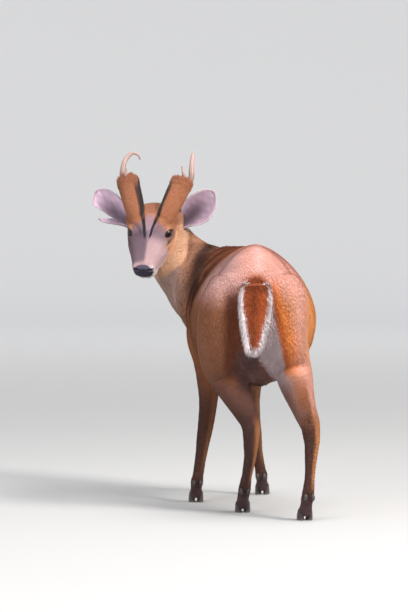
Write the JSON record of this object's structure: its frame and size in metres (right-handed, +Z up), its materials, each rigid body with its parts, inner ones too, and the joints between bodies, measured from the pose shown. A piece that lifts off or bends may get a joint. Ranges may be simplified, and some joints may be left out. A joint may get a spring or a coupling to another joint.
{
  "type": "muntjac deer",
  "caption": "Life-size still model of an adult male muntjac, standing and looking back over its left shoulder.",
  "frame": {"origin": "middle of the footprint box, at the level of the hoof soles", "axes": "+X forward along the pelvis, +Y the animal's left, +Z up"},
  "size_m": [0.7783, 0.5042, 0.7899],
  "materials": {
    "coat_red": "matt",
    "coat_dark": "matt",
    "ear_skin": "matt",
    "eye": "gloss",
    "antler": "satin",
    "horn": "satin"
  },
  "bodies": {
    "root": {"antler_beam_left": "antler", "antler_beam_right": "antler", "brow_tine_left": "antler", "brow_tine_right": "antler", "ear_left": "ear_skin", "ear_right": "ear_skin", "eye_left": "eye", "eye_right": "eye", "fore_left_cannon": "coat_dark", "fore_left_claw_left": "horn", "fore_left_claw_right": "horn", "fore_left_dewclaw_left": "horn", "fore_left_dewclaw_right": "horn", "fore_left_forearm": "coat_red", "fore_left_upper": "coat_red", "fore_right_cannon": "coat_dark", "fore_right_claw_left": "horn", "fore_right_claw_right": "horn", "fore_right_dewclaw_left": "horn", "fore_right_dewclaw_right": "horn", "fore_right_forearm": "coat_red", "fore_right_upper": "coat_red", "head": "coat_red", "hind_left_cannon": "coat_dark", "hind_left_claw_left": "horn", "hind_left_claw_right": "horn", "hind_left_dewclaw_left": "horn", "hind_left_dewclaw_right": "horn", "hind_left_shank": "coat_red", "hind_left_thigh": "coat_red", "hind_right_cannon": "coat_dark", "hind_right_claw_left": "horn", "hind_right_claw_right": "horn", "hind_right_dewclaw_left": "horn", "hind_right_dewclaw_right": "horn", "hind_right_shank": "coat_red", "hind_right_thigh": "coat_red", "neck": "coat_red", "pedicle_left": "coat_red", "pedicle_right": "coat_red", "tail": "coat_red", "torso_belly": "coat_red", "torso_chest": "coat_red", "torso_rump": "coat_red"}
  },
  "joints": []
}
